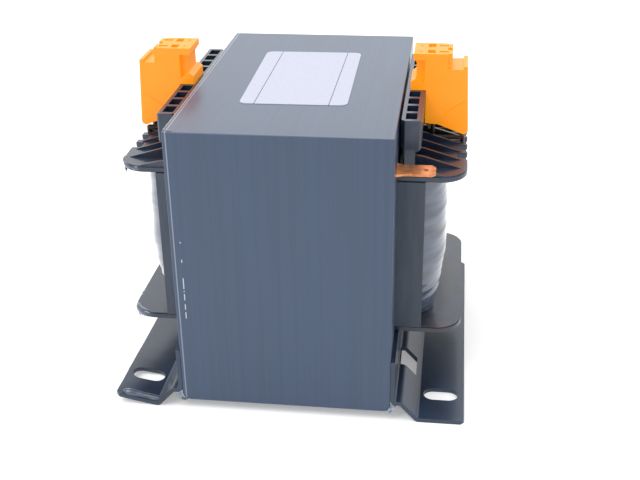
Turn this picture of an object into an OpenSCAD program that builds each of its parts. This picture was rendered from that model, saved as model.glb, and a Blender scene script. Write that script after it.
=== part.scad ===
// Laminated chassis transformer: a welded E-I core on two slotted foot brackets, with a
// moulded bobbin whose terminal rails stand beside the top yoke on both winding ends.
// X runs through the lamination stack, Y across the three limbs, Z up.
// The origin is the centre of the four mounting slots, on the underside of the feet.

/* [Core] */
// Width of the lamination across its three limbs
core_w = 120; // [110:1:130]
// Height of the assembled E and I lamination
core_h = 100; // [92:1:110]
// Thickness of the lamination stack
stack = 73; // [60:1:90]
// Width of the centre limb
tongue_w = 40; // [36:1:42]
// Height of the yokes above and below the windows
yoke_h = 20; // [18:1:24]
// Rounding of the stack's bottom corners
core_corner = 3; // [1.5:0.5:4]
// Height of the core above the mounting surface
foot_drop = 3.5; // [3:0.25:5]

/* [Bobbin] */
// Clearance between the bobbin and the core around it
bobbin_gap = 0.25; // [0.15:0.05:0.4]
// Wall of the tube that the coils are wound on
tube_wall = 1.5; // [1.2:0.1:2.5]
// Thickness of the two flanges
flange_t = 2.2; // [1.8:0.1:3]
// Overhang of the top flange beyond the coil
top_over = 6.8; // [5.6:0.1:9]
// Overhang of the bottom flange beyond the coil
bottom_over = 7.1; // [5.6:0.1:9]
// Clearance from the flange ends to the outer limbs
flange_end_gap = 0.6; // [0.4:0.1:1.5]
// Corner radius of the flanges
flange_corner = 9; // [6:0.5:12]

/* [Terminal rails] */
// Spacing of the pockets
pitch = 7.7; // [7:0.1:7.8]
// Pocket size across the rail
pocket_w = 3.7; // [3.4:0.1:4.4]
// Pocket size along the rail
pocket_l = 5.9; // [5:0.1:6.2]
// Depth of a pocket
pocket_d = 9; // [7:0.5:12]
// Gap between the rail and the side of the core
rail_gap = 0.6; // [0.4:0.1:1.5]
// Wall of the rail on the core side
rail_inner_wall = 1.4; // [0.9:0.1:1.8]
// Wall of the rail on the outer side
rail_outer_wall = 1.6; // [1.2:0.1:2]
// Height of the pocketed head of the rail
rail_head_h = 10.3; // [9.5:0.1:14]
// Level of the rail's top below the top of the core
rail_below_top = 1.2; // [0:0.1:4]
// Thickness of the wall that carries the rail head
rail_web = 3.4; // [2.5:0.1:4]

/* [Wire comb] */
// Thickness of a stepped rib
rib_t = 1.1; // [0.8:0.1:1.6]
// Height of a rib at the rail
rib_h = 4.2; // [3:0.1:4.6]
// Distance of a rib's low end from the flange edge
rib_end = 2; // [1:0.1:3]
// Width of a comb finger between two wire slots
finger_w = 2.8; // [2:0.1:3.6]
// Depth of the wire slots from the flange edge
slot_d = 3.6; // [2.5:0.1:4.4]
// Height of the low rib at each end of the row
end_rib_h = 2; // [1:0.1:3]
// Number of wire slots at each end
wire_slots = 6; // [2:2:6]

/* [Coils] */
// Gap between the coil and the window liners
coil_gap = 3; // [1.5:0.1:4]
// Share of the copper build that the primary coil takes
primary_share = 0.5; // [0.4:0.01:0.6]
// Radial thickness of the insulation between the coils
interlayer = 0.6; // [0.3:0.1:1.2]
// Thickness of the outer wrap
wrap_t = 1.2; // [0.6:0.1:1.8]
// Radial clearance between one layer and the next
layer_gap = 0.1; // [0.05:0.05:0.2]
// Clearance between the coils and the flanges
coil_end_gap = 0.2; // [0.1:0.05:0.4]
// Distance by which the outer layers draw in at the bottom flange
taper = 3.2; // [0:0.1:4]
// Height over which the outer layers draw in
taper_h = 24; // [12:1:34]
// Thickness of the window liners
liner_t = 0.8; // [0.5:0.1:1]
// Length of the window liners through the stack
liner_l = 91.5; // [84:0.5:100]
// Clearance between a liner and the outer limb
liner_gap = 0.2; // [0.1:0.05:0.3]

/* [Foot brackets] */
// Thickness of the bracket sheet
sheet_t = 1.5; // [1.2:0.1:2]
// Reach of a foot from the side of the core
foot_reach = 25.5; // [24.5:0.1:30]
// Distance of the bracket's upper edge below the joint of the E and I stacks
leg_below = 0; // [0:0.5:8]
// Height of the web's crest above the mounting surface
crest_h = 7; // [6:0.25:8]
// Width of the crest outside the core
crest_w = 3.6; // [2.5:0.1:5]
// Distance across which the web slopes down to the foot
slope_w = 5.8; // [4.5:0.1:7]
// Bend radius on the middle of the sheet
bend_r = 1.6; // [1:0.1:2]
// Distance from the side of the core to the middle of a mounting slot
slot_out = 17.2; // [16.9:0.1:18]
// Mounting slot spacing along the feet
slot_y = 89; // [80:0.5:96]
// Width of a mounting slot
slot_w = 7; // [5:0.1:8]
// Length of a mounting slot end to end
slot_l = 12.2; // [10:0.1:13]
// Distance of the web windows from the middle of the bracket
window_y = 30; // [26:0.5:34]
// Length of a web window
window_l = 11.6; // [8:0.2:14]
// Size of the chamfer on the foot's outer corners
foot_chamfer = 1.2; // [0.5:0.1:3]
// Radius of the weld fillets at the foot of the core
weld_r = 2.3; // [2.1:0.1:2.8]
// Length of the weld fillets along the core's bottom edges
weld_l = 5; // [3:0.5:12]

/* [Terminal blocks] */
// Width of a two-pole block along the rail
block_l = 14.4; // [13:0.1:15.2]
// Height of the block above the rail
block_h = 13; // [11:0.25:16]
// Depth of the block below the top of the rail
block_drop = 12; // [11.5:0.1:12.4]
// Reach of the block from the side of the core
block_reach = 22.7; // [21:0.1:24]
// Depth of the step at the block's outer top edge
step_h = 5.3; // [4:0.1:6]
// Clearance between the block and the rail
block_gap = 0.15; // [0.1:0.05:0.2]
// Wall of the spring chambers
chamber_wall = 1.1; // [0.9:0.05:1.3]
// Thickness of the contact bars
bar_t = 0.8; // [0.6:0.1:1]
// Width of the contact bars
bar_w = 3; // [2.2:0.1:3.2]
// Thickness of the spring strip
spring_t = 0.5; // [0.4:0.05:0.6]
// Width of the spring strip
spring_w = 4; // [3:0.1:4.4]
// Clearance around the contacts in the block
contact_gap = 0.1; // [0.05:0.05:0.15]
// Diameter of the primary leads
primary_wire = 1.4; // [1:0.1:1.8]
// Diameter of the secondary leads
secondary_wire = 2; // [1.4:0.1:2.4]

/* [Earth tab and label] */
// Width of the earth tab
tab_w = 6.3; // [4.8:0.1:8]
// Width of the earth tab where it meets the core
tab_root_w = 8; // [8:0.1:10]
// Thickness of the earth tab
tab_t = 0.8; // [0.5:0.1:1]
// Length of the earth tab outside the core
tab_l = 12.6; // [8:0.1:14]
// Level of the earth tab below the top of the core
tab_below_top = 14; // [8:0.5:17]
// Distance of the earth tab's middle from the front of the core
tab_from_front = 10; // [6:0.5:14]
// Tilt of the earth tab
tab_tilt = 7; // [0:1:12]
// Size of the label across the stack
label_w = 36.5; // [30:0.5:50]
// Size of the label along the limbs
label_l = 63.2; // [50:0.2:80]
// Thickness of the label
label_t = 0.15; // [0.1:0.05:0.3]
// Distance of the label's middle towards the back
label_back = 1.5; // [0:0.1:3]
// Turn of the label on the yoke
label_turn = 0.9; // [0:0.1:2]

/* [Hidden] */
$fn = 48;
eps = 0.01;

// Levels
core_z = foot_drop;
leg_top = core_z + yoke_h - leg_below;
window_bottom = core_z + yoke_h;
window_top = core_z + core_h - yoke_h;
core_top = core_z + core_h;

// Core and windows
side_x = stack / 2;
window_out = core_w / 2 - tongue_w / 2;
liner_out = window_out - liner_gap;

// Bobbin
tube_in_x = side_x + bobbin_gap;
tube_in_y = tongue_w / 2 + bobbin_gap;
tube_x = tube_in_x + tube_wall;
tube_y = tube_in_y + tube_wall;
flange_y = window_out - flange_end_gap;
bobbin_bottom = window_bottom + bobbin_gap;
bobbin_top = window_top - bobbin_gap;
coil_bottom = bobbin_bottom + flange_t + coil_end_gap;
coil_top = bobbin_top - flange_t - coil_end_gap;
edge_r = 0.7;

// Rail
rail_x0 = side_x + rail_gap;
pocket_x0 = rail_x0 + rail_inner_wall;
pocket_x1 = pocket_x0 + pocket_w;
pocket_x = (pocket_x0 + pocket_x1) / 2;
rail_x1 = pocket_x1 + rail_outer_wall;
rail_top = core_top - rail_below_top;
rail_head = rail_top - rail_head_h;
pockets = 2 * floor(flange_y / pitch);
web_x0 = pocket_x0;
web_x1 = web_x0 + rail_web;

// Coils, as radial distances outside the tube
wrap_r1 = liner_out - liner_t - coil_gap - tube_y;
wrap_r0 = wrap_r1 - wrap_t;
copper = wrap_r0 - interlayer - 4 * layer_gap;
primary_r0 = layer_gap;
primary_r1 = primary_r0 + copper * primary_share;
inter_r0 = primary_r1 + layer_gap;
inter_r1 = inter_r0 + interlayer;
secondary_r0 = inter_r1 + layer_gap;
secondary_r1 = wrap_r0 - layer_gap;
wrap_x = tube_x + wrap_r1;
top_reach = wrap_x + top_over;
bottom_reach = wrap_x + bottom_over;

// Bracket
leg_x = side_x + sheet_t / 2;
foot_mid = sheet_t / 2;
foot_x = side_x + foot_reach;
slot_x = side_x + slot_out;

// Terminal block
block_x = side_x + block_reach;
block_top = rail_top + block_h;
block_bottom = rail_top - block_drop;
neck_x = rail_x1 + block_gap;
block_y = block_l / 2;
pole_y = pitch / 2;
chamber_x0 = neck_x + chamber_wall;
chamber_x1 = block_x - 3.4;
chamber_z0 = block_bottom + 3.4;
chamber_z1 = block_top - step_h - 1.6;
chamber_l = 2 * (block_y - pole_y - chamber_wall);
back_x = pocket_x0 + block_gap;
lid_x = block_x - 6.4;
bar_x = chamber_x0 + contact_gap + bar_t / 2;
bar_top = rail_top + 2.2;
bar_bottom = block_bottom - 2.6;

/* ---------- shared shapes ---------- */

// A plate with round corners, centred on X and Y, standing on level z
module round_plate(half_x, half_y, z, t, r) {
    translate([0, 0, z]) linear_extrude(t) {
        square([2 * half_x, 2 * (half_y - r)], center = true);
        square([2 * (half_x - r), 2 * half_y], center = true);
        for (sx = [-1, 1], sy = [-1, 1])
            translate([sx * (half_x - r), sy * (half_y - r)]) circle(r);
    }
}

// A box between two corners
module span(low, high) {
    translate(low) cube(high - low);
}

// A wall of the given outline, in radial distance and level, carried round the tube
module layer(outline) {
    for (a = [0, 180]) rotate(a) {
        translate([tube_x, 0, 0]) rotate([90, 0, 0])
            linear_extrude(2 * tube_y, center = true) polygon(outline);
        translate([0, tube_y, 0]) rotate([90, 0, 90])
            linear_extrude(2 * tube_x, center = true) polygon(outline);
        translate([tube_x, tube_y, 0]) rotate_extrude(angle = 90) polygon(outline);
        translate([-tube_x, tube_y, 0]) rotate(90) rotate_extrude(angle = 90) polygon(outline);
    }
}

// The outline of a straight layer between two radial distances
function straight(r0, r1) = [[r0, coil_bottom], [r1, coil_bottom], [r1, coil_top], [r0, coil_top]];

// Levels and draw-in of the tapering foot of the outer layers, from the top down
function tapered_side(r) = [
    [r, coil_bottom + taper_h],
    [r - 0.16 * taper, coil_bottom + 0.5 * taper_h],
    [r - 0.46 * taper, coil_bottom + 0.2 * taper_h],
    [r - taper, coil_bottom]
];

// Points of an arc that rounds the corner b of the path a, b, c
function unit(v) = v / norm(v);
function corner_arc(a, b, c, r, n = 6) =
    let (
        u = unit(a - b),
        v = unit(c - b),
        half = acos(u * v) / 2,
        cut = r / tan(half),
        mid = b + unit(u + v) * r / sin(half),
        p = b + u * cut - mid,
        q = b + v * cut - mid,
        turn = atan2(p.x * q.y - p.y * q.x, p * q)
    )
    [for (i = [0:n]) mid + [
        p.x * cos(turn * i / n) - p.y * sin(turn * i / n),
        p.x * sin(turn * i / n) + p.y * cos(turn * i / n)
    ]];

// A path with all its inner corners rounded
function bent(path, r) = [
    path[0],
    for (i = [1:len(path) - 2]) each corner_arc(path[i - 1], path[i], path[i + 1], r),
    path[len(path) - 1]
];

// One side of a strip that follows a path at the signed distance d
function beside(path, d) = [
    for (i = [0:len(path) - 1])
        let (
            before = unit(path[max(i, 1)] - path[max(i, 1) - 1]),
            after = unit(path[min(i + 1, len(path) - 1)] - path[min(i + 1, len(path) - 1) - 1]),
            dir = unit(before + after),
            reach = d / (dir * before)
        )
        path[i] + reach * [-dir.y, dir.x]
];

// The outline of a sheet or strip of thickness t along a path
function strip(path, t) =
    let (far = beside(path, -t / 2))
    concat(beside(path, t / 2), [for (i = [len(far) - 1:-1:0]) far[i]]);

// An outline drawn in X and Z, extruded along Y about its middle
module along_y(points, l) {
    rotate([90, 0, 0]) linear_extrude(l, center = true) polygon(points);
}

// A round wire along a list of points
module wire(points, d) {
    for (i = [0:len(points) - 2]) {
        step = points[i + 1] - points[i];
        translate(points[i])
            rotate([0, acos(step.z / norm(step)), atan2(step.y, step.x)])
                cylinder(h = norm(step), d = d, $fn = 24);
    }
    for (i = [1:len(points) - 2]) translate(points[i]) sphere(d = d, $fn = 24);
}

/* ---------- core ---------- */

// The outline of the whole stack seen from the front, with its bottom corners rounded
module stack_outline() {
    translate([-side_x, core_corner]) square([stack, core_h - core_corner]);
    translate([core_corner - side_x, 0]) square([stack - 2 * core_corner, core_h]);
    for (s = [-1, 1]) translate([s * (side_x - core_corner), core_corner]) circle(core_corner);
}

// The E laminations: top yoke and three limbs
module e_laminations() {
    color("slategray") difference() {
        span([-side_x, -core_w / 2, window_bottom], [side_x, core_w / 2, core_top]);
        for (s = [-1, 1]) translate([0, s * (tongue_w / 2 + window_out) / 2, 0])
            span(
                [-side_x - 1, -(window_out - tongue_w / 2) / 2, window_bottom - 1],
                [side_x + 1, (window_out - tongue_w / 2) / 2, window_top]
            );
    }
}

// The I laminations: the bottom yoke
module i_laminations() {
    color("slategray") intersection() {
        span([-side_x, -core_w / 2, core_z], [side_x, core_w / 2, window_bottom]);
        translate([0, 0, core_z]) rotate([90, 0, 0])
            linear_extrude(core_w + 2, center = true) stack_outline();
    }
}

/* ---------- bobbin ---------- */

// A flange with a softened rim: a full plate between two slightly smaller ones
module flange(reach, z) {
    soft = 0.4;
    round_plate(reach, flange_y, z + soft, flange_t - 2 * soft, flange_corner);
    round_plate(reach - soft, flange_y - soft, z, flange_t, flange_corner - soft);
}

// The opening for the centre limb
module tongue_hole() {
    span([-tube_in_x, -tube_in_y, bobbin_bottom - 1], [tube_in_x, tube_in_y, bobbin_top + 1]);
}

// The rail head with its row of pockets, on its web, on the +X end
module rail() {
    head = [
        [rail_x0 + 0.15, rail_top], [rail_x1 - 0.4, rail_top], [rail_x1, rail_top - 0.4],
        [rail_x1, rail_head + 0.8], [rail_x1 - 0.8, rail_head], [web_x1, rail_head],
        [web_x1, bobbin_top - eps], [web_x0, bobbin_top - eps],
        [web_x0, rail_head], [rail_x0, rail_head + 1.1], [rail_x0, rail_top - 0.15]
    ];
    difference() {
        along_y(head, 2 * flange_y);
        for (i = [0:pockets - 1])
            translate([pocket_x, (i - (pockets - 1) / 2) * pitch, rail_top - pocket_d])
                translate([-pocket_w / 2, -pocket_l / 2, 0]) cube([pocket_w, pocket_l, pocket_d + 1]);
        for (s = [-1, 1]) translate([0, s * flange_y, 0]) rail_end_cuts();
    }
}

// The chamfers on the upright edges at one end of a rail
module rail_end_cuts() {
    for (edge = [[rail_x0, rail_inner_wall - 0.1], [rail_x1, 0.7]])
        translate([edge.x, 0, rail_head - 1]) rotate(45)
            linear_extrude(rail_head_h + 2) square(edge.y * sqrt(2), center = true);
}

// One rib: height h at the rail, running out on the flange at the distance reach
module rib(h, reach) {
    side = [
        [web_x1 - eps, bobbin_top - eps], [reach, bobbin_top - eps],
        [reach - 1, bobbin_top + 0.3], [rail_x1 + 0.6, bobbin_top + h * 0.92],
        [web_x1 - eps, bobbin_top + h]
    ];
    along_y(side, rib_t);
}

// The slots that let the leads up past the flange, with rounded mouths between the fingers
module wire_slots_cut() {
    depth = flange_t + 2;
    mouth = 1;
    for (i = [0:wire_slots - 1])
        translate([top_reach, (i - (wire_slots - 1) / 2) * pitch, bobbin_top - flange_t - 1]) {
            translate([-slot_d, (finger_w - pitch) / 2, 0])
                cube([slot_d + 1, pitch - finger_w, depth]);
            for (s = [-1, 1]) translate([0, s * (pitch - finger_w) / 2, 0]) difference() {
                translate([-mouth, -mouth, 0]) cube([2 * mouth, 2 * mouth, depth]);
                translate([-mouth, s * mouth, -1]) cylinder(h = depth + 2, r = mouth, $fn = 32);
                translate([-2 * mouth, s > 0 ? mouth : -3 * mouth, -1])
                    cube([2 * mouth - eps, 2 * mouth, depth + 2]);
            }
        }
}

module bobbin() {
    color("darkslategray") {
        difference() {
            union() {
                span([-tube_x, -tube_y, bobbin_bottom], [tube_x, tube_y, bobbin_top]);
                flange(bottom_reach, bobbin_bottom);
                flange(top_reach, bobbin_top - flange_t);
            }
            tongue_hole();
            for (a = [0, 180]) rotate(a) wire_slots_cut();
        }
        for (a = [0, 180]) rotate(a) {
            rail();
            for (i = [-pockets / 2 + 1:pockets / 2 - 1]) translate([0, i * pitch, 0])
                rib(rib_h, top_reach - rib_end);
            for (s = [-1, 1]) translate([0, s * (flange_y - rib_t), 0])
                rib(end_rib_h, top_reach - flange_corner + 1.5);
        }
    }
}

/* ---------- coils ---------- */

module primary_winding() {
    color("peru") layer(straight(primary_r0, primary_r1));
}

module interwinding_insulation() {
    color("khaki") layer(straight(inter_r0, inter_r1));
}

module secondary_winding() {
    color("sienna") layer(concat(
        [[secondary_r0, coil_bottom], [secondary_r0, coil_top], [secondary_r1, coil_top]],
        tapered_side(secondary_r1)
    ));
}

module outer_wrap() {
    inner = tapered_side(wrap_r0);
    color("lightsteelblue") layer(concat(
        [[wrap_r0, coil_top], [wrap_r1, coil_top]],
        tapered_side(wrap_r1), [for (i = [3:-1:0]) inner[i]]
    ));
}

// An insulating strip between the coil and the outer limb, standing on the bottom flange
module window_liner(side) {
    low = [-liner_l / 2, liner_out - liner_t, bobbin_bottom + flange_t];
    high = [liner_l / 2, liner_out, bobbin_top - flange_t];
    color("dimgray") rotate(side) span(low, high);
}

module front_window_liner() {
    window_liner(180);
}

module rear_window_liner() {
    window_liner(0);
}

/* ---------- feet ---------- */

// A bent sheet bracket on the +X end: leg, crest, sloping web and foot
module foot_bracket() {
    path = bent([
        [leg_x, leg_top], [leg_x, crest_h], [side_x + crest_w, crest_h],
        [side_x + crest_w + slope_w, foot_mid], [foot_x, foot_mid]
    ], bend_r);
    window_x0 = side_x + sheet_t + 0.3;
    window_x1 = side_x + crest_w + slope_w - 1.4;
    difference() {
        along_y(strip(path, sheet_t), core_w);
        for (s = [-1, 1]) {
            translate([slot_x, s * slot_y / 2, -1]) slot_cut();
            span(
                [window_x0, s * window_y - window_l / 2, -1],
                [window_x1, s * window_y + window_l / 2, crest_h + sheet_t]
            );
            translate([foot_x, s * core_w / 2, -1]) rotate(45)
                linear_extrude(sheet_t + 2) square(foot_chamfer * sqrt(2), center = true);
        }
    }
}

// One mounting slot, running along X
module slot_cut() {
    travel = (slot_l - slot_w) / 2;
    for (s = [-1, 1]) translate([s * travel, 0, 0]) cylinder(h = sheet_t + 2, d = slot_w);
    translate([-travel, -slot_w / 2, 0]) cube([2 * travel, slot_w, sheet_t + 2]);
}

module right_foot_bracket() {
    color("darkslateblue") foot_bracket();
}

module left_foot_bracket() {
    color("darkslateblue") rotate(180) foot_bracket();
}

// A weld in the valley between the core's rounded corner and the bracket's bend
module weld_fillet() {
    slack = 0.05;
    centre = [side_x - 0.3, 0, core_z + 1.9];
    difference() {
        translate([centre.x, core_w / 2 - weld_l, centre.z])
            rotate([-90, 0, 0]) cylinder(h = weld_l, r = weld_r);
        span([0, 0, core_z + core_corner], [side_x, core_w, core_z + core_corner + 9]);
        span([0, 0, core_z - slack], [side_x - core_corner, core_w, core_z + core_corner]);
        translate([side_x - core_corner, 0, core_z + core_corner]) rotate([-90, 0, 0])
            cylinder(h = core_w, r = core_corner + slack);
        translate([leg_x + bend_r, 0, crest_h + bend_r]) rotate([-90, 0, 0])
            cylinder(h = core_w, r = bend_r + sheet_t / 2 + slack);
        span(
            [leg_x + bend_r, 0, crest_h - sheet_t / 2 - slack],
            [leg_x + bend_r + 9, core_w, crest_h + 9]
        );
        span([side_x, 0, crest_h + bend_r], [side_x + 9, core_w, crest_h + bend_r + 9]);
    }
}

module weld_fillets() {
    color("silver") for (a = [0, 180]) rotate(a) {
        weld_fillet();
        mirror([0, 1, 0]) weld_fillet();
    }
}

/* ---------- terminals ---------- */

// The two-pole block on the +X end
module terminal_housing() {
    profile = [
        [back_x + 0.8, block_top], [lid_x, block_top], [lid_x, block_top - step_h],
        [block_x - 2.5, block_top - step_h], [block_x - 2.5, block_top - step_h + 1],
        [block_x - 1.1, block_top - step_h + 1], [block_x, block_bottom - 2.4],
        [block_x - 0.4, block_bottom - 3.4], [block_x - 1.6, block_bottom - 3.8],
        [neck_x + 4.5, block_bottom - 0.3], [neck_x, block_bottom], [neck_x, rail_top],
        [back_x, rail_top], [back_x, rail_top + 3], [back_x + 1.8, rail_top + 4.4],
        [back_x + 1.8, block_top - 3.8], [back_x + 0.8, block_top - 2.2]
    ];
    difference() {
        union() {
            along_y(profile, block_l);
            for (s = [-1, 1]) span(
                [back_x, s * pole_y - pocket_l / 2 + block_gap, rail_top - 6],
                [pocket_x1 - block_gap, s * pole_y + pocket_l / 2 - block_gap, rail_top + eps]
            );
        }
        for (s = [-1, 1]) {
            translate([0, s * pole_y, 0]) pole_cuts();
            translate([0, s * block_y, 0]) face_cuts();
        }
        lid_notches();
    }
}

// The chamber, the two top openings, the sunk mark and the contact's passage of one pole
module pole_cuts() {
    span([chamber_x0, -chamber_l / 2, chamber_z0], [chamber_x1, chamber_l / 2, chamber_z1]);
    span([neck_x + 0.3, -1.9, chamber_z1 - 1], [neck_x + 2.9, 1.9, block_top + 1]);
    span([neck_x + 4.2, -0.8, chamber_z1 - 1], [neck_x + 7.4, 0.8, block_top + 1]);
    translate([neck_x - 2, 0, block_top - 0.3]) cylinder(h = 1, d = 1.2, $fn = 24);
    span(
        [bar_x - bar_t / 2 - contact_gap, -bar_w / 2 - contact_gap, block_bottom - 2],
        [bar_x + bar_t / 2 + contact_gap, bar_w / 2 + contact_gap, chamber_z0 + 1]
    );
}

// The open recess over the rail and the parting groove in one end face of the block
module face_cuts() {
    recess = [
        [back_x - 1, rail_top + 10.6], [back_x - 1, rail_top + 5.2],
        [back_x + 1.8, rail_top + 4.2], [neck_x - 0.6, rail_top + 2.2],
        [neck_x - 0.6, rail_top + 10.6]
    ];
    parting = [
        [block_x - 1.6, rail_top - 3.4], [neck_x + 6.9, rail_top - 7.9],
        [neck_x + 7.1, block_bottom - 1.2]
    ];
    along_y(recess, 4.6);
    along_y(strip(parting, 0.25), 0.5);
}

// The notches that leave one guard over each pole on the lid's outer edge
module lid_notches() {
    guard = 5;
    inner = pole_y - guard / 2;
    outer = pole_y + guard / 2;
    for (y = [[-block_y - 1, -outer], [-inner, inner], [outer, block_y + 1]])
        span([lid_x - 1.7, y[0], block_top - step_h], [lid_x + 1, y[1], block_top + 1]);
}

module primary_terminal_housing() {
    color("orange") terminal_housing();
}

module secondary_terminal_housing() {
    color("orange") rotate(180) terminal_housing();
}

// The spring of one pole: a loop that bears on the contact bar
module clamp_spring() {
    near = bar_x + bar_t / 2 + contact_gap + spring_t / 2;
    far = chamber_x1 - contact_gap - spring_t / 2;
    low = chamber_z0 + contact_gap + spring_t / 2;
    high = chamber_z1 - contact_gap - spring_t / 2;
    loop = [
        [near, low + 4], [near, low], [far - 1.5, low], [far, low + 5],
        [(near + far) / 2, high], [near + 0.4, low + 7]
    ];
    along_y(strip(bent(loop, 1), spring_t), spring_w);
}

module clamp_springs() {
    for (s = [-1, 1]) translate([0, s * pole_y, 0]) clamp_spring();
}

module primary_clamp_springs() {
    color("lightgray") clamp_springs();
}

module secondary_clamp_springs() {
    color("lightgray") rotate(180) clamp_springs();
}

// The two contact bars, whose tails stand out below the block
module contact_bars() {
    for (s = [-1, 1]) span(
        [bar_x - bar_t / 2, s * pole_y - bar_w / 2, bar_bottom],
        [bar_x + bar_t / 2, s * pole_y + bar_w / 2, bar_top]
    );
}

module primary_contact_bars() {
    color("gold") contact_bars();
}

module secondary_contact_bars() {
    color("gold") rotate(180) contact_bars();
}

// Two leads from the coil, up through the comb, to the tails of the contact bars
module lead_wires(d) {
    slot_mid = top_reach - slot_d / 2;
    tail_x = bar_x + bar_t / 2 + contact_gap + d / 2;
    run_z = bobbin_top + 0.2 + d / 2;
    for (s = [-1, 1]) translate([0, s * pole_y, 0]) wire([
        [wrap_x, 0, coil_top - 4.5], [slot_mid, 0, coil_top - 4.5],
        [slot_mid, 0, run_z], [tail_x, 0, run_z], [tail_x, 0, block_bottom - 0.8]
    ], d);
}

module primary_lead_wires() {
    color("peru") lead_wires(primary_wire);
}

module secondary_lead_wires() {
    color("peru") rotate(180) lead_wires(secondary_wire);
}

/* ---------- earth tab and label ---------- */

module earth_tab() {
    nose = 1.2;
    half = tab_w / 2;
    outline = [
        [0, -tab_root_w / 2], [2.5, -half], [tab_l - nose, -half], [tab_l, nose - half],
        [tab_l, half - nose], [tab_l - nose, half], [2.5, half], [0, tab_root_w / 2]
    ];
    color("chocolate")
        translate([side_x, tab_from_front - core_w / 2, core_top - tab_below_top])
            rotate([tab_tilt, 0, 0]) difference() {
                linear_extrude(tab_t, center = true) polygon(outline);
                translate([tab_l - 3.2, 0, -1]) cylinder(h = 2, d = 1.5, $fn = 24);
            }
}

module rating_label() {
    color("lavender") translate([0, label_back, 0]) rotate(label_turn)
        round_plate(label_w / 2, label_l / 2, core_top, label_t, 2.6);
}

e_laminations();
i_laminations();
bobbin();
primary_winding();
secondary_winding();
interwinding_insulation();
outer_wrap();
front_window_liner();
rear_window_liner();
left_foot_bracket();
right_foot_bracket();
weld_fillets();
primary_terminal_housing();
secondary_terminal_housing();
primary_clamp_springs();
secondary_clamp_springs();
primary_contact_bars();
secondary_contact_bars();
primary_lead_wires();
secondary_lead_wires();
earth_tab();
rating_label();
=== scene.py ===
"""Dresses the laminated chassis transformer: varnished core, moulded bobbin, taped coil,
bent feet, orange clamp terminals, copper earth tab and label, on a pale stage."""

import math

import bpy
from mathutils import Matrix, Vector
from mathutils import noise as field


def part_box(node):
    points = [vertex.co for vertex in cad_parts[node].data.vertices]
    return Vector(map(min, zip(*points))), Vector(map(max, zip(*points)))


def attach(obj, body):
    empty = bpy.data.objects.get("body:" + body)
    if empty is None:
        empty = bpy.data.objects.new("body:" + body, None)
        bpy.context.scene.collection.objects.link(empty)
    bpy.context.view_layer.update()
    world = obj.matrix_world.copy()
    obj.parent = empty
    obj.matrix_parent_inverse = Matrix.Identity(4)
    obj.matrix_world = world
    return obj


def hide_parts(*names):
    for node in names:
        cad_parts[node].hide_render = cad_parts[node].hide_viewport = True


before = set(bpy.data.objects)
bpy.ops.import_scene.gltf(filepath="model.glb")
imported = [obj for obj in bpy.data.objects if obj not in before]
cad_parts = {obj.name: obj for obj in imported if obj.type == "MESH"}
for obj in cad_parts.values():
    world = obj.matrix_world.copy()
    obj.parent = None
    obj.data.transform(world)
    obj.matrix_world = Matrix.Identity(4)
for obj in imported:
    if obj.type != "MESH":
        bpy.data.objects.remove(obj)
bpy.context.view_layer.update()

bl_info = {
    "name": "Chassis transformer dressing",
    "version": (1, 0, 0),
    "blender": (4, 5, 0),
    "location": "3D View > Sidebar > Transformer",
    "description": "Models and finishes a varnished chassis transformer around its CAD frame",
    "category": "Object",
}

MM = 0.001

CORE_LOW, CORE_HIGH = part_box("e_laminations")
YOKE_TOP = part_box("i_laminations")[1][2]
BOBBIN_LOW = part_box("bobbin")[0]
WRAP_LOW, WRAP_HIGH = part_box("outer_wrap")
FOOT_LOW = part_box("left_foot_bracket")[0]


# ---------------------------------------------------------------- sizes and colours


def length(name, description, default):
    """A length that the panel shows in the scene's unit."""
    return bpy.props.FloatProperty(
        name=name,
        description=description,
        default=default,
        subtype="DISTANCE",
        unit="LENGTH",
    )


def colour_code(name, description, default):
    """An sRGB hex colour that the panel shows as text."""
    return bpy.props.StringProperty(name=name, description=description, default=default)


class EdgeSizes(bpy.types.PropertyGroup):
    """Rounding of the edges under the varnish"""

    core: length("Core edges", "Rounding of the lamination stacks' edges", 0.3 * MM)
    moulding: length("Moulding edges", "Rounding of the bobbin's edges", 0.2 * MM)
    sheet: length("Sheet edges", "Rounding of the foot brackets' edges", 0.2 * MM)
    housing: length("Housing edges", "Rounding of the terminals' edges", 0.35 * MM)
    tab: length("Tab edges", "Rounding of the earth tab's edges", 0.12 * MM)


class CoilSizes(bpy.types.PropertyGroup):
    """Sizes of the taped coil that shows between the flanges"""

    swell: length("Swell", "How far the tape stands off at the middle of its height", 0.9 * MM)
    foot_taper: length("Foot taper", "How far the coil draws in at the bottom flange", 3.2 * MM)
    taper_height: length("Taper height", "Height at which the coil reaches its full build", 24 * MM)
    crease: length("Crease", "Height of the creases in the tape", 0.45 * MM)
    tape: length("Tape", "Thickness of the tape between its creases", 0.7 * MM)


class VarnishSizes(bpy.types.PropertyGroup):
    """Sizes of the varnish beads and of the bent foot"""

    bead: length("Bead", "Radius of the bead along the core's top edge", 0.35 * MM)
    blob: length("Blob", "Radius of the blob at the core's top corner", 0.55 * MM)
    rim: length("Flange rim", "Radius of the varnish round the flange corners", 1.15 * MM)
    drip: length("Drip", "Radius of the drips under the flange corners", 0.6 * MM)
    foot_bead: length("Foot bead", "Radius of the bead on the left foot's front edge", 1.4 * MM)
    foot_lift: length("Foot lift", "Rise of the left foot's front outer corner", 2.8 * MM)


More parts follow.
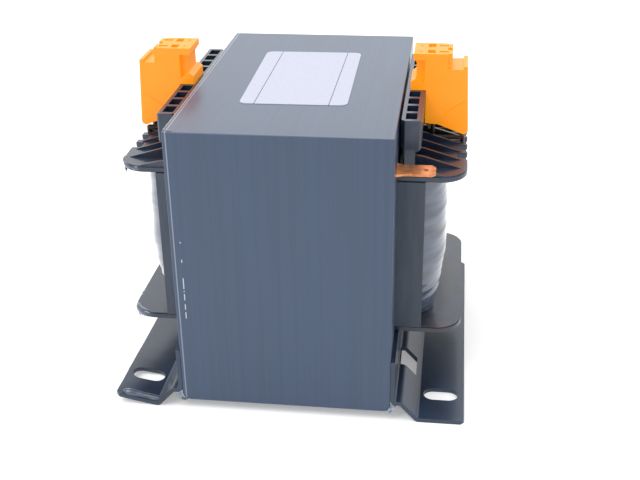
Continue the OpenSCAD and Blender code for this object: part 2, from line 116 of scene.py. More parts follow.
class FinishColours(bpy.types.PropertyGroup):
    """Colours of the visible materials"""

    core: colour_code("Core", "Varnished lamination edges", "#2a415e")
    moulding: colour_code("Moulding", "Dark bobbin plastic under varnish", "#1c2c42")
    feet: colour_code("Feet", "Dipped sheet steel", "#1b2e46")
    housing: colour_code("Terminals", "Orange polyamide", "#ff8406")
    wrap: colour_code("Coil wrap", "Varnished polyester tape", "#4c586c")
    liner: colour_code("Liners", "Varnished pressboard", "#3d4857")
    pooled: colour_code("Pooled varnish", "Beads and drips of varnish", "#3a475a")


# ---------------------------------------------------------------- material helpers


def linear(code):
    """An sRGB hex colour as linear RGBA."""
    parts = [int(code[i : i + 2], 16) / 255 for i in (1, 3, 5)]
    return [p / 12.92 if p < 0.04045 else ((p + 0.055) / 1.055) ** 2.4 for p in parts] + [1.0]


def tones(code, *steps):
    """Colour stops that make one hex colour darker and lighter: (position, gain) pairs."""
    parts = [int(code[i : i + 2], 16) for i in (1, 3, 5)]
    made = []
    for where, gain in steps:
        shaded = (min(255, max(0, round(part * gain))) for part in parts)
        made.append((where, "#" + "".join(f"{part:02x}" for part in shaded)))
    return made


def add(tree, kind, links=None, stops=None, **settings):
    """Adds one node, sets its properties and colour stops, and links or sets its inputs."""
    made = tree.nodes.new("ShaderNode" + kind)
    for name, value in settings.items():
        setattr(made, name, value)
    if stops:
        elements = made.color_ramp.elements
        for element, (where, code) in zip(elements, (stops[0], stops[-1])):
            element.position, element.color = where, linear(code)
        for where, code in stops[1:-1]:
            elements.new(where).color = linear(code)
    for name, value in (links or {}).items():
        if isinstance(value, bpy.types.NodeSocket):
            tree.links.new(value, made.inputs[name])
        else:
            made.inputs[name].default_value = value
    return made


def new_material(name):
    """An empty node material and its tree."""
    made = bpy.data.materials.new(name)
    made.use_nodes = True
    made.node_tree.nodes.clear()
    return made, made.node_tree


def mottle(tree, repeats, detail):
    """A mottled field in object space, with its own repeats per metre on each axis."""
    place = add(tree, "TexCoord").outputs["Object"]
    spread = add(tree, "Mapping", {"Vector": place, "Scale": repeats}).outputs[0]
    made = add(tree, "TexNoise", {"Vector": spread, "Scale": 1.0, "Detail": detail})
    return made.outputs["Fac"]


def stripe(tree, axis, centre, half):
    """One inside a thin stripe across an axis in object space, zero outside it."""
    place = add(tree, "TexCoord").outputs["Object"]
    part = add(tree, "SeparateXYZ", {0: place}).outputs[axis]
    near = add(tree, "Math", {0: part, 1: centre, 2: half}, operation="COMPARE")
    return near.outputs[0]


def surface(tree, colour, sockets, height=None, strength=0.2, depth=0.1 * MM):
    """Ends a material: its shader with the colour, the constants and the relief."""
    shader = add(tree, "BsdfPrincipled", {"Base Color": colour, **sockets})
    if height:
        bump = add(tree, "Bump", {"Height": height, "Strength": strength, "Distance": depth})
        tree.links.new(bump.outputs[0], shader.inputs["Normal"])
    add(tree, "OutputMaterial", {"Surface": shader.outputs[0]})


# ---------------------------------------------------------------- materials


def lacquered_laminations(code):
    """Edges of stacked sheet steel under dipped polyester varnish."""
    made, tree = new_material("lacquered_lamination_steel")
    # blue-grey satin with fine streaks along the sheets: drawn 0.9 mm apart, because 0.5 mm
    # sheets are too fine to show, over bands of 6 mm
    sheets = mottle(tree, (1100, 9, 9), 5.0)
    broad = mottle(tree, (160, 14, 14), 2.0)
    mixed = add(tree, "Mix", {0: 0.35, 2: sheets, 3: broad}, data_type="FLOAT").outputs[0]
    steps = tones(code, (0.3, 0.93), (0.5, 1.0), (0.72, 1.08))
    colour = add(tree, "ValToRGB", {"Fac": mixed}, stops=steps).outputs[0]
    # a pale line painted 1.2 mm in from the stack's left side: the varnish bead along that edge is
    # real, its highlight is painted
    corner = stripe(tree, "X", CORE_LOW[0] + 1.2 * MM, 0.22 * MM)
    corner = add(tree, "Math", {0: corner, 1: 0.35}, operation="MULTIPLY").outputs[0]
    # the painted edge highlight and the real scratch share one pale colour
    highlight_and_scratch = {0: corner, 1: broken_scratch(tree)}
    highlight_and_scratch = add(tree, "Math", highlight_and_scratch, operation="MAXIMUM").outputs[0]
    with_highlight_and_scratch = {0: highlight_and_scratch, 6: colour, 7: linear("#c3cad6")}
    with_highlight_and_scratch = add(tree, "Mix", with_highlight_and_scratch, data_type="RGBA").outputs[2]
    film = {"Roughness": 0.45, "Coat Weight": 0.5, "Coat Roughness": 0.22}
    surface(tree, with_highlight_and_scratch, film, mixed, strength=0.13, depth=0.1 * MM)
    return made


def broken_scratch(tree):
    """A broken upright scratch in the front face, half way up, in dashes of 2 mm."""
    across = stripe(tree, "X", CORE_LOW[0] + 3.4 * MM, 0.16 * MM)
    along = stripe(tree, "Z", 50.5 * MM, 15 * MM)
    front = stripe(tree, "Y", CORE_LOW[1], 0.5 * MM)
    dashes = {0: mottle(tree, (40, 40, 420), 1.0), 1: 0.5}
    dashes = add(tree, "Math", dashes, operation="GREATER_THAN").outputs[0]
    level = across
    for mask in (along, front, dashes):
        level = add(tree, "Math", {0: level, 1: mask}, operation="MULTIPLY").outputs[0]
    return level


def varnished_moulding(code):
    """Glass-filled thermoplastic, moulded, under runny varnish."""
    made, tree = new_material("varnished_glass_filled_polyester")
    # dark blue gloss with 5 mm ripples, browner in the pools of 14 mm where it has run thick
    ripples = mottle(tree, (220, 220, 220), 3.0)
    pools = mottle(tree, (70, 70, 110), 2.0)
    steps = tones(code, (0.3, 0.8), (0.7, 1.15))
    colour = add(tree, "ValToRGB", {"Fac": ripples}, stops=steps).outputs[0]
    depth = {"Value": pools, "From Min": 0.52, "From Max": 0.72, "To Max": 0.6}
    depth = add(tree, "MapRange", depth).outputs[0]
    stained = {0: depth, 6: colour, 7: linear("#3c2c2e")}
    stained = add(tree, "Mix", stained, data_type="RGBA").outputs[2]
    film = {"Roughness": 0.35, "Coat Weight": 0.35, "Coat Roughness": 0.12}
    surface(tree, stained, film, ripples, strength=0.3, depth=0.25 * MM)
    return made


def dipped_sheet(code):
    """Pressed sheet steel dipped in varnish."""
    made, tree = new_material("varnish_dipped_sheet_steel")
    # dark blue-grey gloss, lighter and darker over 11 to 17 mm as the film is thin or thick
    cloud = mottle(tree, (90, 60, 90), 4.0)
    steps = tones(code, (0.3, 0.8), (0.7, 1.15))
    colour = add(tree, "ValToRGB", {"Fac": cloud}, stops=steps).outputs[0]
    film = {"Roughness": 0.4, "Coat Weight": 0.35, "Coat Roughness": 0.16}
    surface(tree, colour, film, cloud, strength=0.25, depth=0.35 * MM)
    return made


def pooled_varnish(code):
    """Polyester varnish set in thick drips and beads."""
    made, tree = new_material("pooled_polyester_varnish")
    # wet-looking, lumps of 2 mm with painted shade in their hollows and a painted highlight on
    # their crests
    lumps = mottle(tree, (450, 450, 450), 3.0)
    steps = tones(code, (0.35, 0.8), (0.65, 1.3))
    colour = add(tree, "ValToRGB", {"Fac": lumps}, stops=steps).outputs[0]
    film = {"Roughness": 0.25, "Coat Weight": 1.0, "Coat Roughness": 0.05}
    surface(tree, colour, film, lumps, strength=0.35, depth=0.3 * MM)
    return made


def near_black_leads():
    """The leads' cover, near black."""
    made, tree = new_material("near_black_lead_cover")
    # near black with a red cast, over a fine grain of 0.7 mm
    grain = mottle(tree, (1500, 1500, 1500), 2.0)
    steps = [(0.3, "#17141a"), (0.7, "#3d2626")]
    colour = add(tree, "ValToRGB", {"Fac": grain}, stops=steps).outputs[0]
    surface(tree, colour, {"Roughness": 0.3}, grain, strength=0.2, depth=0.1 * MM)
    return made


def orange_polyamide(code):
    """Injection-moulded polyamide."""
    made, tree = new_material("moulded_orange_polyamide")
    # satin and slightly translucent, with a 0.4 mm spark texture and faint clouds of 8 mm
    spark = mottle(tree, (2500, 2500, 2500), 2.0)
    cloud = mottle(tree, (120, 120, 120), 2.0)
    steps = tones(code, (0.3, 0.97), (0.7, 1.0))
    colour = add(tree, "ValToRGB", {"Fac": cloud}, stops=steps).outputs[0]
    body = {
        "Roughness": 0.4,
        "Subsurface Weight": 0.2,
        "Subsurface Radius": (3 * MM, 1.5 * MM, 0.5 * MM),
        "Subsurface Scale": 1.0,
        # painted glow: the orange gives off a little light of its own, standing in for fill light,
        # so the shaded faces stay vivid
        "Emission Color": linear("#ffb010"),
        "Emission Strength": 0.36,
    }
    surface(tree, colour, body, spark, strength=0.08, depth=0.05 * MM)
    return made


def varnished_tape(code):
    """Polyester tape pulled tight over the coil and varnished."""
    made, tree = new_material("varnished_polyester_tape")
    # flat creases 4 mm high and 17 mm long, with painted shade in their folds and a painted pale
    # sheen on their crests
    creases = mottle(tree, (60, 60, 260), 3.0)
    steps = tones(code, (0.3, 0.72), (0.7, 1.2))
    colour = add(tree, "ValToRGB", {"Fac": creases}, stops=steps).outputs[0]
    film = {"Roughness": 0.3, "Coat Weight": 1.0, "Coat Roughness": 0.12}
    surface(tree, colour, film, creases, strength=0.4, depth=0.5 * MM)
    return made


def varnished_board(code):
    """Calendered pressboard soaked in varnish."""
    made, tree = new_material("varnished_pressboard")
    # dark and even, with a faint upright fibre 2.5 mm wide and 17 mm long
    fibre = mottle(tree, (400, 400, 60), 4.0)
    steps = tones(code, (0.3, 0.9), (0.7, 1.08))
    colour = add(tree, "ValToRGB", {"Fac": fibre}, stops=steps).outputs[0]
    surface(tree, colour, {"Roughness": 0.45})
    return made


def enamelled_copper():
    """Drawn copper wire in clear enamel."""
    made, tree = new_material("enamelled_copper_wire")
    # warm metal under a glossy film, in turns 0.6 mm high
    turns = mottle(tree, (40, 40, 1600), 2.0)
    steps = [(0.3, "#7a3312"), (0.7, "#c4672c")]
    colour = add(tree, "ValToRGB", {"Fac": turns}, stops=steps).outputs[0]
    surface(tree, colour, {"Metallic": 0.8, "Roughness": 0.3})
    return made


def stamped_copper():
    """Stamped copper strip, lightly oxidised."""
    made, tree = new_material("stamped_copper")
    # rosy metal with rolling lines of 0.4 mm along it and stains of 2.4 mm
    brush = mottle(tree, (300, 2400, 2400), 3.0)
    stain = mottle(tree, (420, 420, 420), 3.0)
    mixed = add(tree, "Mix", {0: 0.6, 2: brush, 3: stain}, data_type="FLOAT").outputs[0]
    steps = [(0.3, "#8f4f2c"), (0.5, "#c07c50"), (0.7, "#e3a070")]
    colour = add(tree, "ValToRGB", {"Fac": mixed}, stops=steps).outputs[0]
    metal = {"Metallic": 0.85, "Roughness": 0.32}
    surface(tree, colour, metal, mixed, strength=0.35, depth=0.1 * MM)
    return made


def printed_film():
    """White polyester film label, printed with two plain rules."""
    made, tree = new_material("printed_polyester_label")
    # matt and pale, with 1 mm flecks; thin dark rules part the end fields from the middle one
    fleck = mottle(tree, (900, 900, 900), 2.0)
    steps = [(0.3, "#b6bacb"), (0.7, "#bcc0d0")]
    colour = add(tree, "ValToRGB", {"Fac": fleck}, stops=steps).outputs[0]
    sides = [stripe(tree, "X", end * 12.6 * MM, 0.14 * MM) for end in (-1, 1)]
    rules = add(tree, "Math", {0: sides[0], 1: sides[1]}, operation="MAXIMUM").outputs[0]
    inked = {0: rules, 6: colour, 7: linear("#4c4e5a")}
    inked = add(tree, "Mix", inked, data_type="RGBA").outputs[2]
    surface(tree, inked, {"Roughness": 0.5})
    return made


def spring_steel():
    """Rolled stainless spring strip."""
    made, tree = new_material("rolled_spring_steel")
    # grey satin, drawn along its length in lines 0.3 mm wide
    lines = mottle(tree, (300, 3000, 300), 2.0)
    steps = [(0.3, "#9a9ca0"), (0.7, "#c0c2c6")]
    colour = add(tree, "ValToRGB", {"Fac": lines}, stops=steps).outputs[0]
    surface(tree, colour, {"Metallic": 1.0, "Roughness": 0.35})
    return made


def tinned_brass():
    """Tin-plated brass bar."""
    made, tree = new_material("tin_plated_brass")
    # pale with a soft sheen, in blotches of 1.7 mm where the plating thins
    blotch = mottle(tree, (600, 600, 600), 2.0)
    steps = [(0.3, "#b59a5c"), (0.7, "#cdbb8c")]
    colour = add(tree, "ValToRGB", {"Fac": blotch}, stops=steps).outputs[0]
    surface(tree, colour, {"Metallic": 1.0, "Roughness": 0.35})
    return made


def weld_bead():
    """Steel weld under varnish."""
    made, tree = new_material("varnished_weld_bead")
    # lumps of 1.4 mm, with painted shade in their hollows and a painted highlight on their crests
    lumps = mottle(tree, (700, 700, 700), 3.0)
    steps = [(0.35, "#3c4858"), (0.65, "#aab4c0")]
    colour = add(tree, "ValToRGB", {"Fac": lumps}, stops=steps).outputs[0]
    metal = {"Metallic": 0.5, "Roughness": 0.25}
    surface(tree, colour, metal, lumps, strength=0.8, depth=0.4 * MM)
    return made


def insulation_film():
    """Polyester film between the coils."""
    made, tree = new_material("polyester_insulation_film")
    # straw-coloured and smooth, clouded over 10 mm
    cloud = mottle(tree, (100, 100, 100), 2.0)
    steps = [(0.3, "#d8cd9c"), (0.7, "#e6dcb0")]
    colour = add(tree, "ValToRGB", {"Fac": cloud}, stops=steps).outputs[0]
    surface(tree, colour, {"Roughness": 0.3})
    return made


def paint(material, *names):
    """Gives CAD nodes one material."""
    for name in names:
        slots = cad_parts[name].data.materials
        slots.clear()
        slots.append(material)


# ---------------------------------------------------------------- modelling helpers


def only(obj):
    """Selects one object and makes it active."""
    bpy.ops.object.select_all(action="DESELECT")
    obj.hide_set(False)
    obj.select_set(True)
    bpy.context.view_layer.objects.active = obj


def softened(node, name, width, angle=30, keep_sharp=None):
    """A copy of a CAD node with merged faces and rounded edges, standing for the node."""
    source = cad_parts[node]
    made = bpy.data.objects.new(name, source.data.copy())
    bpy.context.scene.collection.objects.link(made)
    only(made)
    bpy.ops.object.mode_set(mode="EDIT")
    bpy.ops.mesh.select_mode(type="EDGE")
    bpy.ops.mesh.select_all(action="SELECT")
    bpy.ops.mesh.remove_doubles(threshold=1e-6)
    bpy.ops.mesh.dissolve_limited(angle_limit=math.radians(1))
    bpy.ops.mesh.select_all(action="DESELECT")
    bpy.ops.mesh.edges_select_sharp(sharpness=math.radians(angle))
    bpy.ops.object.mode_set(mode="OBJECT")
    weights = made.data.attributes.new("bevel_weight_edge", "FLOAT", "EDGE")
    for edge, weight in zip(made.data.edges, weights.data):
        ends = [made.data.vertices[i].co for i in edge.vertices]
        held = keep_sharp and all(keep_sharp(end) for end in ends)
        weight.value = float(edge.select and not held)
    bevel = made.modifiers.new("rounded edges", "BEVEL")
    bevel.width = width
    bevel.segments = 2
    bevel.limit_method = "WEIGHT"
    bpy.ops.object.modifier_apply(modifier=bevel.name)
    bpy.ops.object.shade_smooth_by_angle(angle=math.radians(40))
    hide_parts(node)
    return made


def even_normals(obj):
    """Lets the large faces set the shading, so that they look flat beside rounded edges."""
    only(obj)
    weighted = obj.modifiers.new("flat faces", "WEIGHTED_NORMAL")
    weighted.keep_sharp = True
    bpy.ops.object.modifier_apply(modifier=weighted.name)
    return obj


def gridded(obj, axis, pitch, cuts):
    """Cuts a mesh at even places from its low side, so that it can be bent smoothly."""
    normal = Vector([float(i == axis) for i in range(3)])
    only(obj)
    bpy.ops.object.mode_set(mode="EDIT")
    for k in range(1, cuts + 1):
        place = normal * (FOOT_LOW[axis] + k * pitch)
        bpy.ops.mesh.select_all(action="SELECT")
        bpy.ops.mesh.bisect(plane_co=place, plane_no=normal, threshold=1e-7)
    bpy.ops.object.mode_set(mode="OBJECT")


def closed_mesh(name, verts, faces):
    """A smooth-shaded object from points and faces, with its normals turned outward."""
    data = bpy.data.meshes.new(name)
    data.from_pydata(verts, [], faces)
    made = bpy.data.objects.new(name, data)
    bpy.context.scene.collection.objects.link(made)
    only(made)
    bpy.ops.object.mode_set(mode="EDIT")
    bpy.ops.mesh.select_all(action="SELECT")
    bpy.ops.mesh.normals_make_consistent(inside=False)
    bpy.ops.object.mode_set(mode="OBJECT")
    bpy.ops.object.shade_smooth_by_angle(angle=math.radians(60))
    return made


def lump(place, pitch, seed):
    """Smooth noise from -1 to 1 at a place, repeating about every pitch."""
    return field.noise(Vector(place) / pitch + Vector((seed, 0.7 * seed, 1.3 * seed)))


def strand(name, path, radius, lumps, seed, flat=1.0):
    """A closed bead of varnish along a path, thick and thin by turns, tapered at its ends."""
    sides = 10
    step = 0.6 * radius
    points = [Vector(p) for p in path]
    dense = []
    for a, b in zip(points, points[1:]):
        count = max(2, int((b - a).length / step))
        dense += [a.lerp(b, i / count) for i in range(count)]
    dense.append(points[-1])
    last = len(dense) - 1
    verts, faces = [], []
    for i, here in enumerate(dense):
        along = (dense[min(i + 1, last)] - dense[max(i - 1, 0)]).normalized()
        side = along.cross(Vector((0, 0, 1)))
        side = side.normalized() if side.length > 0.1 else Vector((1, 0, 0))
        rise = side.cross(along)
        ends = min(1.0, (min(i, last - i) + 0.25) * step / (2 * radius))
        size = radius * math.sqrt(ends) * (1 + lumps * lump(here, 3.5 * radius, seed))
        for k in range(sides):
            turn = 2 * math.pi * k / sides
            out = side * math.cos(turn) + rise * flat * math.sin(turn)
            verts.append(here + size * out)
    for i in range(last):
        for k in range(sides):
            a, b = i * sides + k, i * sides + (k + 1) % sides
            faces.append((a, b, b + sides, a + sides))
    faces.append(tuple(reversed(range(sides))))
    faces.append(tuple(last * sides + k for k in range(sides)))
    return closed_mesh(name, verts, faces)


def joined(name, pieces):
    """Several pieces made one object."""
    bpy.ops.object.select_all(action="DESELECT")
    for piece in pieces:
        piece.select_set(True)
    bpy.context.view_layer.objects.active = pieces[0]
    bpy.ops.object.join()
    pieces[0].name = name
    return pieces[0]


def finish(obj, material):
    """Gives a new piece its material and ties it to the part."""
    obj.data.materials.clear()
    obj.data.materials.append(material)
    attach(obj, "root")


# ---------------------------------------------------------------- core and bobbin


def at_joint(place):
    """Whether a point lies on the joint between the stacks, which the varnish has closed."""
    return abs(place[2] - YOKE_TOP) < 0.01 * MM


class TRANSFORMER_OT_core(bpy.types.Operator):
    """Finishes the two lamination stacks"""

    bl_idname = "transformer.core"
    bl_label = "Core"

    def execute(self, context):
        steel = lacquered_laminations(context.scene.finish_colours.core)
        width = context.scene.edge_sizes.core
        for node, name in (("e_laminations", "e_stack"), ("i_laminations", "i_stack")):
            stack = even_normals(softened(node, name, width, keep_sharp=at_joint))
            finish(stack, steel)
        return {"FINISHED"}


class TRANSFORMER_OT_bobbin(bpy.types.Operator):
    """Finishes the moulded bobbin with its rails and ribs"""

    bl_idname = "transformer.bobbin"
    bl_label = "Bobbin"

    def execute(self, context):
        plastic = varnished_moulding(context.scene.finish_colours.moulding)
        made = softened("bobbin", "moulded_bobbin", context.scene.edge_sizes.moulding)
        finish(even_normals(made), plastic)
        return {"FINISHED"}


# ---------------------------------------------------------------- coil

# half depth of the square-cornered core of turns that the coil is wound round
TURNS_HALF_DEPTH = 21.75 * MM
# levels up the coil, and steps round each of its corners and along each of its sides
COIL_LEVELS, CORNER_STEPS, SIDE_STEPS = 80, 24, 30


def coil_outline(half_x, half_y):
    """Places on the square-cornered core of turns, each with its outward direction."""
    found = []
    corners = ((1, 1, 0), (-1, 1, 90), (-1, -1, 180), (1, -1, 270))
    for number, (sx, sy, start) in enumerate(corners):
        here = (sx * half_x, sy * half_y)
        for k in range(CORNER_STEPS + 1):
            turn = math.radians(start + 90 * k / CORNER_STEPS)
            found.append((here, (math.cos(turn), math.sin(turn))))
        after = corners[(number + 1) % 4]
        there = (after[0] * half_x, after[1] * half_y)
        turn = math.radians(start + 90)
        for k in range(1, SIDE_STEPS):
            share = k / SIDE_STEPS
            place = tuple(a + (b - a) * share for a, b in zip(here, there))
            found.append((place, (math.cos(turn), math.sin(turn))))
    return found


def coil_build(sizes, reach, level, height):
    """Distance from the core of turns to the tape at a level above the bottom flange."""
    low = max(0.0, 1 - level / sizes.taper_height)
    swell = sizes.swell * math.sin(math.pi * min(1.0, level / height * 0.9 + 0.1)) ** 0.7
    return reach - sizes.foot_taper * low**1.7 + 0.75 * swell * (1 - low)


def coil_creases(sizes, place, outward, level):
    """Folds that rise round the coil, with deep ridges over the bottom corners."""
    # only the two winding ends show; the sides lie inside the windows and stay smooth
    end = abs(outward[0]) ** 0.5
    along = place[1] + outward[1] * 14 * MM
    slant = level - 0.32 * along * math.copysign(1, outward[0])
    fine = lump((0.1 * along, slant, 0.0), 2.3 * MM, 3.1)
    broad = lump((0.25 * along, slant, 0.0), 6.5 * MM, 8.4)
    low = max(0.0, 1 - level / (16 * MM))
    corner = 1 - abs(abs(outward[1]) - 0.6)
    ridge = math.sin(slant / (0.62 * MM)) * low * corner
    return sizes.crease * end * (0.45 * fine + 0.9 * broad + 0.9 * ridge) - 0.05 * MM


class TRANSFORMER_OT_coil(bpy.types.Operator):
    """Models the taped outer coil"""

    bl_idname = "transformer.coil"
    bl_label = "Coil"

    def execute(self, context):
        sizes = context.scene.coil_sizes
        reach = WRAP_HIGH[1] - TURNS_HALF_DEPTH
        around = coil_outline(WRAP_HIGH[0] - reach, TURNS_HALF_DEPTH)
        height = WRAP_HIGH[2] - WRAP_LOW[2]
        verts, faces = [], []
        for inner in (False, True):
            for j in range(COIL_LEVELS + 1):
                level = height * j / COIL_LEVELS
                build = coil_build(sizes, reach, level, height)
                for (x, y), out in around:
                    if inner:
                        spread = build - sizes.tape
                    else:
                        spread = build + coil_creases(sizes, (x, y), out, level)
                    verts.append((x + out[0] * spread, y + out[1] * spread, WRAP_LOW[2] + level))
        count = len(around)
        row = count * (COIL_LEVELS + 1)
        for k in range(count):
            after = (k + 1) % count
            for wall in (0, row):
                for j in range(COIL_LEVELS):
                    a, b = wall + j * count + k, wall + j * count + after
                    faces.append((a, b, b + count, a + count))
            for start in (0, COIL_LEVELS * count):
                a, b = start + k, start + after
                faces.append((a, b, b + row, a + row))
        made = closed_mesh("taped_coil", verts, faces)
        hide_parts("outer_wrap")
        colours = context.scene.finish_colours
        finish(made, varnished_tape(colours.wrap))
        paint(enamelled_copper(), "primary_winding", "secondary_winding")
        paint(insulation_film(), "interwinding_insulation")
        paint(varnished_board(colours.liner), "front_window_liner", "rear_window_liner")
        return {"FINISHED"}


# ---------------------------------------------------------------- feet

# width and length of the part of the left foot that is bent up
BENT_WIDTH, BENT_LENGTH = 16 * MM, 62 * MM
# edges that turn less than this are the sheet's own bends and stay as they are
SHEET_ANGLE = 50


def bent(place, lift):
    """Where a point of the left foot lies once its front outer corner is bent up."""
    across = max(0.0, 1 - (place[0] - FOOT_LOW[0]) / BENT_WIDTH)
    along = max(0.0, 1 - (place[1] - FOOT_LOW[1]) / BENT_LENGTH)
    share = across * (along * along * (3 - 2 * along))
    dent = 0.28 * MM * share**0.5 * lump((place[0], place[1], 0.0), 7 * MM, 2.2)
    return Vector((place[0] + 0.3 * lift * share, place[1], place[2] + lift * share + dent))


class TRANSFORMER_OT_feet(bpy.types.Operator):
    """Finishes the two foot brackets and their welds; the left foot is bent up in front"""

    bl_idname = "transformer.feet"
    bl_label = "Feet"

    def execute(self, context):
        sheet = dipped_sheet(context.scene.finish_colours.feet)
        width = context.scene.edge_sizes.sheet
        right = softened("right_foot_bracket", "right_foot", width, angle=SHEET_ANGLE)
        finish(even_normals(right), sheet)
        left = softened("left_foot_bracket", "left_foot", width, angle=SHEET_ANGLE)
        gridded(left, 0, pitch=1.5 * MM, cuts=12)
        gridded(left, 1, pitch=2.0 * MM, cuts=33)
        for vertex in left.data.vertices:
            vertex.co = bent(vertex.co, context.scene.varnish_sizes.foot_lift)
        finish(even_normals(left), sheet)
        paint(weld_bead(), "weld_fillets")
        return {"FINISHED"}


# ---------------------------------------------------------------- terminals and fittings

# where the fine parting groove lies on a terminal's end faces
GROOVE_SIDE = 6.9 * MM
GROOVE_ACROSS = (50.5 * MM, 57.9 * MM)
GROOVE_LEVELS = (88 * MM, 99.2 * MM)


def in_groove(place):
    """Whether a point lies on the parting groove, which is too fine to be rounded."""
    across, side, level = abs(place[0]), abs(place[1]), place[2]
    return (
        side > GROOVE_SIDE
        and GROOVE_ACROSS[0] < across < GROOVE_ACROSS[1]
        and GROOVE_LEVELS[0] < level < GROOVE_LEVELS[1]
    )


class TRANSFORMER_OT_terminals(bpy.types.Operator):
    """Finishes the clamp terminals with their contacts and leads"""

    bl_idname = "transformer.terminals"
    bl_label = "Terminals"

    def execute(self, context):
        plastic = orange_polyamide(context.scene.finish_colours.housing)
        width = context.scene.edge_sizes.housing
        for side in ("primary", "secondary"):
            node = side + "_terminal_housing"
            made = softened(node, side + "_terminal", width, keep_sharp=in_groove)
            finish(even_normals(made), plastic)
        paint(spring_steel(), "primary_clamp_springs", "secondary_clamp_springs")
        paint(tinned_brass(), "primary_contact_bars", "secondary_contact_bars")
        paint(near_black_leads(), "primary_lead_wires", "secondary_lead_wires")
        return {"FINISHED"}


class TRANSFORMER_OT_fittings(bpy.types.Operator):
    """Finishes the earth tab and the label"""

    bl_idname = "transformer.fittings"
    bl_label = "Earth tab and label"

    def execute(self, context):
        tab = softened("earth_tab", "copper_tab", context.scene.edge_sizes.tab)
        finish(even_normals(tab), stamped_copper())
        paint(printed_film(), "rating_label")
        return {"FINISHED"}


# ---------------------------------------------------------------- varnish

# each flange's middle level and its reach, with a seed for the lumps on its rim
FLANGES = ((82.15 * MM, 59.3 * MM, 2.0), (24.85 * MM, 59.6 * MM, 5.0))
# corner radius of the flanges, and how far inside the edge the varnish sits
FLANGE_CORNER, RIM_INSET = 9 * MM, 0.7 * MM


class TRANSFORMER_OT_varnish(bpy.types.Operator):
    """Adds the beads and drips where varnish has set thick"""

    bl_idname = "transformer.varnish"
    bl_label = "Varnish beads"

    def execute(self, context):
        sizes = context.scene.varnish_sizes
        thick = pooled_varnish(context.scene.finish_colours.pooled)
        finish(self.core_bead(sizes), thick)
        finish(self.flange_drips(sizes), thick)
        finish(self.foot_bead(sizes), thick)
        return {"FINISHED"}

    @staticmethod
    def core_bead(sizes):
        """The bead along the core's top left edge, with a blob at its front corner."""
        side, front, top = CORE_LOW[0], CORE_LOW[1], CORE_HIGH[2]
        start = front + 1.2 * MM
        across = side + sizes.bead
        line = [(across, start, top), (across, CORE_HIGH[1] - 2 * MM, top)]
        corner = [(side + 1.0 * MM, start, top), (side + 3.4 * MM, front + 1.0 * MM, top)]
        edge = strand("edge", line, sizes.bead, lumps=0.35, seed=4.0, flat=0.6)
        blob = strand("blob", corner, sizes.blob, lumps=0.35, seed=6.0, flat=0.6)
        return joined("core_varnish_bead", [edge, blob])

    @staticmethod
    def flange_drips(sizes):
        """The thick rims round the left front corners of the flanges, each with a drip."""
        drips = []
        away = FLANGE_CORNER - RIM_INSET
        for level, reach, seed in FLANGES:
            middle = (FLANGE_CORNER - reach, BOBBIN_LOW[1] + FLANGE_CORNER)
            path = [(RIM_INSET - reach, middle[1] + FLANGE_CORNER, level)]
            for k in range(9):
                turn = math.radians(180 + 11 * k)
                x, y = middle[0] + away * math.cos(turn), middle[1] + away * math.sin(turn)
                path.append((x, y, level))
            drips.append(strand("rim", path, sizes.rim, lumps=0.5, seed=seed))
            x, y, _ = path[4]
            run = [(x, y, level), (x - 0.2 * MM, y - 0.2 * MM, level - 2.6 * MM)]
            drips.append(strand("drip", run, sizes.drip, lumps=0.4, seed=seed))
        return joined("flange_varnish_drips", drips)

    @staticmethod
    def foot_bead(sizes):
        """The bead on the left foot's front edge, bent up with the foot."""
        radius = sizes.foot_bead
        rim = []
        for k in range(13):
            x = FOOT_LOW[0] + radius + 0.6 * MM + k * 1.35 * MM
            place = (x, FOOT_LOW[1] + 1.3 * radius, radius + 0.1 * MM)
            rim.append(bent(place, sizes.foot_lift))
        return strand("foot_varnish_bead", rim, radius, lumps=0.3, seed=9.0)


# ---------------------------------------------------------------- stage

# name, size, power, place and aim of each soft lamp
LAMPS = (
    ("key_softbox", (0.9, 0.9), 9, (-0.5, -0.5, 1.1), (0, 0, 0.05)),
    ("top_softbox", (0.8, 0.8), 3, (0.2, 0.4, 1.0), (0, 0, 0.08)),
    ("back_sheen", (1.2, 0.5), 1.2, (-0.15, 1.0, 0.6), (0, 0, 0.1)),
)
CAMERA_PLACE = (0.052807, -0.354945, 0.213713)
# turn about the vertical, tip above the horizon and roll of the camera, in degrees
CAMERA_ANGLES = (7.67, 26.01, -0.86)
SENSOR_WIDTH, FOCAL_LENGTH = 36, 58.095
ROOM_LIGHT, FLOOR_GLOW = 0.75, 0.3


def area_lamp(name, size, power, place, aim):
    """A soft rectangular lamp that faces a point."""
    lamp = bpy.data.lights.new(name, "AREA")
    lamp.shape = "RECTANGLE"
    lamp.size, lamp.size_y = size
    lamp.energy = power
    made = bpy.data.objects.new(name, lamp)
    bpy.context.scene.collection.objects.link(made)
    facing = (Vector(aim) - Vector(place)).to_track_quat("-Z", "Y")
    made.matrix_world = Matrix.Translation(place) @ facing.to_matrix().to_4x4()


def seen(tree):
    """One for rays that show the room itself: to the eye, in a reflection or through glass."""
    path = add(tree, "LightPath")
    level = path.outputs["Is Camera Ray"]
    for kind in ("Is Glossy Ray", "Is Transmission Ray"):
        either = {0: level, 1: path.outputs[kind]}
        level = add(tree, "Math", either, operation="MAXIMUM").outputs[0]
    return level


def backdrop_paper():
    """Matt white paper, with a glow that only the eye and reflections see."""
    made, tree = new_material("matt_white_backdrop_paper")
    # even and pale, clouded by one part in a hundred over 33 mm
    cloud = mottle(tree, (30, 30, 30), 2.0)
    steps = [(0.3, "#f4f4f4"), (0.7, "#f7f7f7")]
    colour = add(tree, "ValToRGB", {"Fac": cloud}, stops=steps).outputs[0]
    glow = add(tree, "Math", {0: seen(tree), 1: FLOOR_GLOW}, operation="MULTIPLY").outputs[0]
    matt = {"Roughness": 0.9, "Emission Color": (1, 1, 1, 1), "Emission Strength": glow}
    surface(tree, colour, matt)
    return made


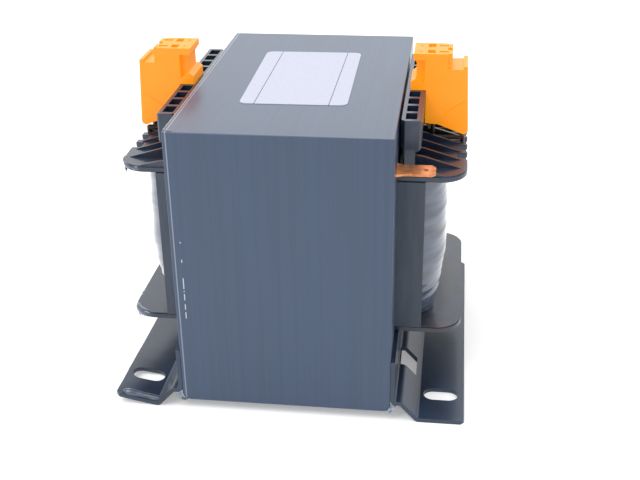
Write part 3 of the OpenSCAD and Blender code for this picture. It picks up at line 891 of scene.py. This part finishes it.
class TRANSFORMER_OT_stage(bpy.types.Operator):
    """Sets the floor, lights and camera"""

    bl_idname = "transformer.stage"
    bl_label = "Stage"

    def execute(self, context):
        scene = context.scene
        bpy.ops.object.select_all(action="DESELECT")
        bpy.ops.mesh.primitive_plane_add(size=8)
        floor = context.active_object
        floor.name = "stage_floor"
        floor.data.materials.append(backdrop_paper())

        world = bpy.data.worlds.new("soft_white_room")
        scene.world = world
        world.use_nodes = True
        tree = world.node_tree
        tree.nodes.clear()
        level = {"Value": seen(tree), "To Min": ROOM_LIGHT, "To Max": 1.0}
        level = add(tree, "MapRange", level).outputs[0]
        room = add(tree, "Background", {"Color": (1, 1, 1, 1), "Strength": level})
        add(tree, "OutputWorld", {"Surface": room.outputs[0]})

        for lamp in LAMPS:
            area_lamp(*lamp)
        self.set_camera(scene)
        scene.view_settings.view_transform = "Standard"
        return {"FINISHED"}

    @staticmethod
    def set_camera(scene):
        """Places the camera for the catalogue view."""
        turn, tip, roll = (math.radians(v) for v in CAMERA_ANGLES)
        level = math.cos(tip)
        back = Vector((math.sin(turn) * level, -math.cos(turn) * level, math.sin(tip)))
        right = Vector((math.cos(turn), math.sin(turn), 0))
        up = back.cross(right)
        across = right * math.cos(roll) + up * math.sin(roll)
        upward = up * math.cos(roll) - right * math.sin(roll)
        facing = Matrix((across, upward, back)).transposed().to_4x4()
        lens = bpy.data.cameras.new("catalogue_camera")
        lens.sensor_width = SENSOR_WIDTH
        lens.lens = FOCAL_LENGTH
        lens.clip_start = 0.01
        camera = bpy.data.objects.new("catalogue_camera", lens)
        scene.collection.objects.link(camera)
        camera.matrix_world = Matrix.Translation(CAMERA_PLACE) @ facing
        scene.camera = camera


# ---------------------------------------------------------------- panel and registration


STEPS = (
    TRANSFORMER_OT_stage,
    TRANSFORMER_OT_core,
    TRANSFORMER_OT_bobbin,
    TRANSFORMER_OT_coil,
    TRANSFORMER_OT_feet,
    TRANSFORMER_OT_terminals,
    TRANSFORMER_OT_fittings,
    TRANSFORMER_OT_varnish,
)

GROUPS = {
    "edge_sizes": EdgeSizes,
    "coil_sizes": CoilSizes,
    "varnish_sizes": VarnishSizes,
    "finish_colours": FinishColours,
}


class TRANSFORMER_PT_panel(bpy.types.Panel):
    """Lists the pieces and their settings"""

    bl_label = "Transformer"
    bl_idname = "TRANSFORMER_PT_panel"
    bl_space_type = "VIEW_3D"
    bl_region_type = "UI"
    bl_category = "Transformer"

    def draw(self, context):
        for group in GROUPS:
            box = self.layout.box()
            settings = getattr(context.scene, group)
            for name in settings.__annotations__:
                box.prop(settings, name)
        for step in STEPS:
            self.layout.operator(step.bl_idname)


CLASSES = (*GROUPS.values(), *STEPS, TRANSFORMER_PT_panel)


def register():
    for item in CLASSES:
        bpy.utils.register_class(item)
    for name, group in GROUPS.items():
        setattr(bpy.types.Scene, name, bpy.props.PointerProperty(type=group))


def unregister():
    for name in GROUPS:
        delattr(bpy.types.Scene, name)
    for item in reversed(CLASSES):
        bpy.utils.unregister_class(item)


def main():
    register()
    for step in STEPS:
        area, name = step.bl_idname.split(".")
        getattr(getattr(bpy.ops, area), name)()


if __name__ == "__main__":
    main()
